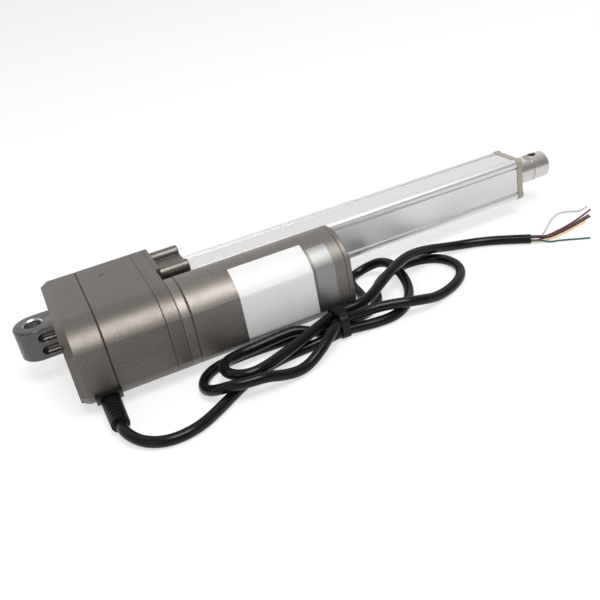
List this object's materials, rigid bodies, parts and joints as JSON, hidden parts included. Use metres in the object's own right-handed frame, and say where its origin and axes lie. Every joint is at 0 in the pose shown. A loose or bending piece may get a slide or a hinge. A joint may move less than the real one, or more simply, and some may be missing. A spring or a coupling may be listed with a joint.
{
  "type": "electric linear actuator",
  "caption": "Electric linear actuator: a motor beside the tube drives a geared lead screw that slides a chromed rod between two cross-bored pin ends; cable with bare cores.",
  "frame": {"origin": "centre of the rear clevis's pin bore", "axes": "+X along the stroke towards the rod, +Z along both pin bores and up, motor towards -Y"},
  "size_m": [0.3732, 0.1363, 0.0504],
  "materials": {
    "grey_paint": "satin metallic paint on die-cast alloy",
    "clevis_paint": "dark grey cast alloy",
    "anodised": "clear anodised extrusion",
    "cap_paint": "beige-grey satin",
    "chrome": "polished",
    "steel": "turned",
    "bright_steel": "zinc plated",
    "nylon": "moulded",
    "bronze": "sintered",
    "copper": "enamelled wire",
    "ferrite": "matt",
    "carbon": "matt",
    "board": "lacquered",
    "black_plastic": "moulded",
    "black_rubber": "satin",
    "core_white": "insulation",
    "core_red": "insulation",
    "core_yellow": "insulation",
    "core_brown": "insulation",
    "core_green": "insulation",
    "core_black": "insulation"
  },
  "bodies": {
    "housing": {"rear_clevis": "clevis_paint", "clevis_screws": "bright_steel", "rear_cover": "grey_paint", "gearbox_gasket": "black_rubber", "gearbox_housing": "grey_paint", "gearbox_screws": "bright_steel", "front_plate": "grey_paint", "tube_socket": "grey_paint", "tube_screws": "bright_steel", "motor_ring": "grey_paint", "motor_cover": "grey_paint", "motor_end_cap": "grey_paint", "motor_tie_bolts": "bright_steel", "motor_can": "steel", "motor_front_bell": "steel", "motor_bearings": "bronze", "motor_magnets": "ferrite", "brush_plate": "black_plastic", "brushes": "carbon", "hall_board": "board", "outer_tube": "anodised", "limit_board": "board", "limit_sensors": "black_plastic", "guide_bush": "bronze", "wiper_seal": "black_rubber", "front_end_cap": "cap_paint", "front_cap_screws": "bright_steel", "bearing_outer_races": "steel", "idler_pin": "steel", "cable_grommet": "black_rubber", "cable": "black_rubber", "cable_tie": "black_plastic", "core_white": "core_white", "core_red": "core_red", "core_yellow": "core_yellow", "core_brown": "core_brown", "core_green": "core_green", "core_black": "core_black"},
    "armature": {"armature_shaft": "steel", "armature_core": "steel", "armature_windings": "copper", "commutator": "copper", "motor_pinion": "steel", "hall_magnet": "ferrite"},
    "idler": {"idler_gear": "nylon"},
    "screw": {"lead_screw": "steel", "screw_gear": "nylon", "gear_clip": "steel", "bearing_inner_races": "steel"},
    "rod": {"piston_rod": "chrome", "drive_nut": "nylon", "nut_magnet": "ferrite", "rod_end": "chrome"}
  },
  "joints": [
    {"name": "motor_spin", "type": "hinge", "parent": "housing", "child": "armature", "pos_m": [0, -0.041, 0], "axis": [1, 0, 0], "range_deg": [0, 200000]},
    {"name": "idler_spin", "type": "hinge", "parent": "housing", "child": "idler", "pos_m": [0, -0.0206, 0.00407], "axis": [1, 0, 0], "range_deg": [-60000, 0]},
    {"name": "screw_spin", "type": "hinge", "parent": "housing", "child": "screw", "pos_m": [0, 0, 0], "axis": [1, 0, 0], "range_deg": [0, 24000]},
    {"name": "rod_slide", "type": "slide", "parent": "housing", "child": "rod", "axis": [1, 0, 0], "range_m": [0, 0.2]}
  ],
  "couplings": [
    {"joint": "motor_spin", "follows": "rod_slide", "rad_per_m": 17453},
    {"joint": "idler_spin", "follows": "rod_slide", "rad_per_m": -5236},
    {"joint": "screw_spin", "follows": "rod_slide", "rad_per_m": 2094.4}
  ]
}
